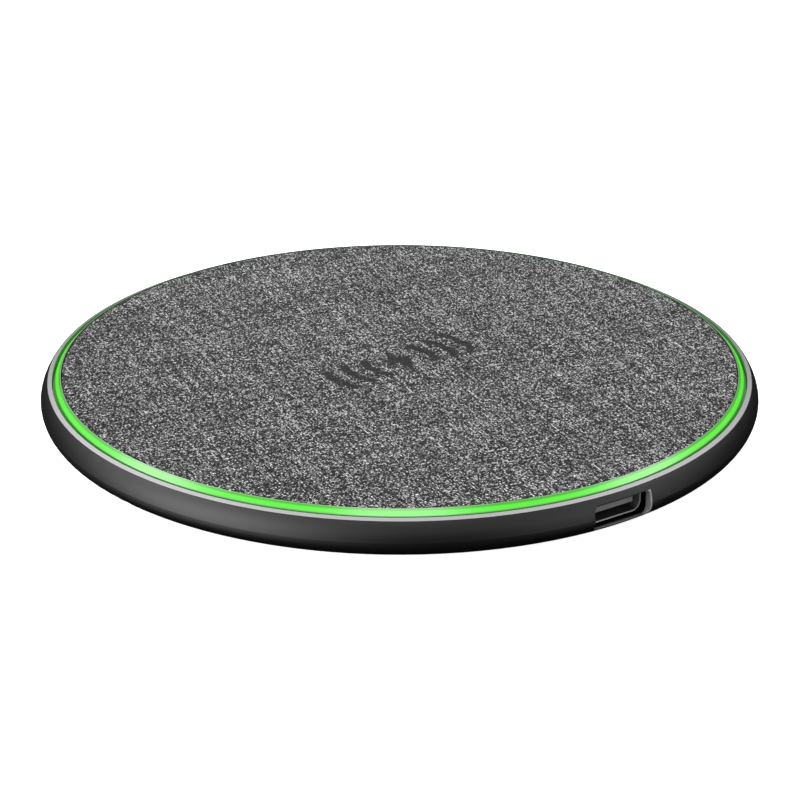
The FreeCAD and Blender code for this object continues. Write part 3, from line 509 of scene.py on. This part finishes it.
def close_underneath(mesh):
    """Turns the cloth's edge down and closes it with an underside."""
    work = bmesh.new()
    work.from_mesh(mesh)
    bmesh.ops.remove_doubles(work, verts=work.verts, dist=WELD_DISTANCE)
    bmesh.ops.dissolve_degenerate(work, edges=work.edges, dist=WELD_DISTANCE)
    rim = [edge for edge in work.edges if edge.is_boundary]
    for level, inset in ((CLOTH_SIDE_BOTTOM, 0.0), (CLOTH_LOW.z, CLOTH_UNDERSIDE_INSET)):
        grown = bmesh.ops.extrude_edge_only(work, edges=rim)["geom"]
        ring = [item for item in grown if isinstance(item, bmesh.types.BMVert)]
        for vert in ring:
            flat = Vector((vert.co.x, vert.co.y)).normalized() * (CLOTH_RADIUS - inset)
            vert.co = (flat.x, flat.y, level)
        rim = [item for item in grown if isinstance(item, bmesh.types.BMEdge) and item.is_boundary]
    bmesh.ops.contextual_create(work, geom=rim)
    bmesh.ops.recalc_face_normals(work, faces=work.faces)
    work.to_mesh(mesh)
    work.free()


def make_cloth(material):
    """The woven disc that takes the place of the plain one."""
    points, quads = woven_grid()
    mesh = bpy.data.meshes.new("woven_top")
    mesh.from_pydata(points, [], quads)
    mesh.validate()
    close_underneath(mesh)
    cloth = link("woven_top", mesh)
    round_off(cloth, 60)
    mesh.materials.append(material)
    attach(cloth, "root")
    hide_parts("fabric_top")


# ---- the scene round the pad ----------------------------------------------------------------

def direction(azimuth, elevation):
    """A unit vector from the pad, azimuth 0 towards -Y and growing towards +X."""
    return Vector((math.sin(azimuth) * math.cos(elevation),
                   -math.cos(azimuth) * math.cos(elevation), math.sin(elevation)))


def look_at(thing, target):
    """Points a lamp or camera at a place, with its top upwards."""
    away = thing.location - target
    thing.rotation_mode = "QUATERNION"
    thing.rotation_quaternion = away.to_track_quat("Z", "Y")


def make_camera():
    """The camera, aimed a little below the middle of the pad's top."""
    back = direction(CAMERA_AZIMUTH, CAMERA_ELEVATION)
    centre = Vector((0, 0, TOP))
    lens = bpy.data.cameras.new("camera")
    lens.lens = CAMERA_LENS
    lens.shift_x = CAMERA_SHIFT
    lens.clip_start, lens.clip_end = 0.01, 20
    camera = link("camera", lens)
    camera.location = centre + back * CAMERA_DISTANCE
    upward = direction(CAMERA_AZIMUTH, CAMERA_ELEVATION + math.pi / 2)
    look_at(camera, centre - upward * AIM_BELOW_TOP)
    bpy.context.scene.camera = camera


def make_lights():
    """Three soft area lamps above the pad, aimed at it."""
    for name, side, elevation, width, height, power in SOFTBOXES:
        lamp = bpy.data.lights.new(name, "AREA")
        lamp.shape = "RECTANGLE"
        lamp.size, lamp.size_y = width, height
        lamp.energy = power
        box = link(name, lamp)
        away = direction(CAMERA_AZIMUTH + math.radians(side), math.radians(elevation))
        box.location = SOFTBOX_TARGET + away * SOFTBOX_DISTANCE
        look_at(box, SOFTBOX_TARGET)


def glow(nodes, way, side, elevation, strength, narrowness):
    """Soft light from one side of the studio, fading with the angle from its middle."""
    middle = direction(CAMERA_AZIMUTH + math.radians(side), math.radians(elevation))
    toward = nodes.new("ShaderNodeVectorMath", operation="DOT_PRODUCT")
    nodes.plug(way, toward.inputs[0])
    toward.inputs[1].default_value = middle
    facing = nodes.math("MAXIMUM", toward.outputs["Value"], 0.0)
    return nodes.math("MULTIPLY", nodes.math("POWER", facing, narrowness), strength)


def make_world():
    """A plain studio: even light above the horizon, and two soft low glows that the wall mirrors."""
    world = bpy.data.worlds.new("studio")
    world.use_nodes = True
    nodes = Nodes(world.node_tree)
    back = nodes.tree.nodes["Background"]
    way = nodes.new("ShaderNodeTexCoord").outputs["Generated"]
    height = nodes.parts(way)[2]
    to_right = nodes.new("ShaderNodeVectorMath", operation="DOT_PRODUCT")
    nodes.plug(way, to_right.inputs[0])
    to_right.inputs[1].default_value = direction(CAMERA_AZIMUTH + math.pi / 2, 0)
    side = nodes.spread(to_right.outputs["Value"], -1.0, 1.0, 0.66, 0.36)
    above = nodes.math("MULTIPLY", nodes.spread(height, 0.0, 0.35), side)
    left = glow(nodes, way, side=-60, elevation=3, strength=4.9, narrowness=6.5)
    right = glow(nodes, way, side=65, elevation=3, strength=1.25, narrowness=8.0)
    low = nodes.math("ADD", left, right)
    level = nodes.math("ADD", nodes.math("ADD", above, low), 0.004)
    nodes.plug(nodes.joined(level, level, level), back.inputs["Color"])
    back.inputs["Strength"].default_value = 1.0
    bpy.context.scene.world = world


def make_floor():
    """A pale floor, hidden from reflections and bounced light, so that the pad doesn't mirror it
    and the low glows reach the wall from below the horizon too."""
    nodes = Surface("pale_floor")
    mottle = nodes.noise(nodes.position(), 30.0, 2.0)
    colour = nodes.mix(mottle, grey(0.90), grey(0.92))
    material = nodes.set(Base_Color=colour, Roughness=0.9, Specular_IOR_Level=0.1,
                         Emission_Color=grey(1.0), Emission_Strength=0.92)
    work = bmesh.new()
    bmesh.ops.create_grid(work, x_segments=24, y_segments=24, size=FLOOR_HALF_SIZE)
    mesh = bpy.data.meshes.new("floor")
    work.to_mesh(mesh)
    work.free()
    mesh.materials.append(material)
    floor = link("floor", mesh)
    floor.location.z = -FLOOR_DROP
    floor.visible_glossy = False
    floor.visible_diffuse = False


# ---- putting it together --------------------------------------------------------------------

def paint(node, material):
    """Gives a CAD piece its material and shades it smooth between its sharp edges."""
    thing = frame["nodes"][node]
    thing.data.materials.clear()
    thing.data.materials.append(material)
    round_off(thing, 30)


def paint_frame():
    """Paints every CAD piece but the plain cloth, which the woven one replaces."""
    paint("housing_shell", shell_material())
    paint("trim_ring", trim_material())
    paint("light_guide_ring", guide_material())
    colours = {item["slot"]: item for item in frame["record"]["materials"]}
    made = {"bright_steel": steel_material()}
    for part in frame["record"]["subparts"]:
        node, slot = part["node"], part["material_slot"]
        if node in ("housing_shell", "trim_ring", "light_guide_ring", "fabric_top"):
            continue
        if slot not in made:
            metal = colours[slot]["class"] in ("brass", "brushed_steel", "aluminium")
            made[slot] = plain_material(slot, colours[slot]["base_color"][:3], 0.5,
                                        1.0 if metal else 0.0)
        paint(node, made[slot])


make_camera()
make_lights()
make_world()
make_floor()
paint_frame()
make_cloth(cloth_material())
bpy.context.scene.view_settings.view_transform = "Standard"
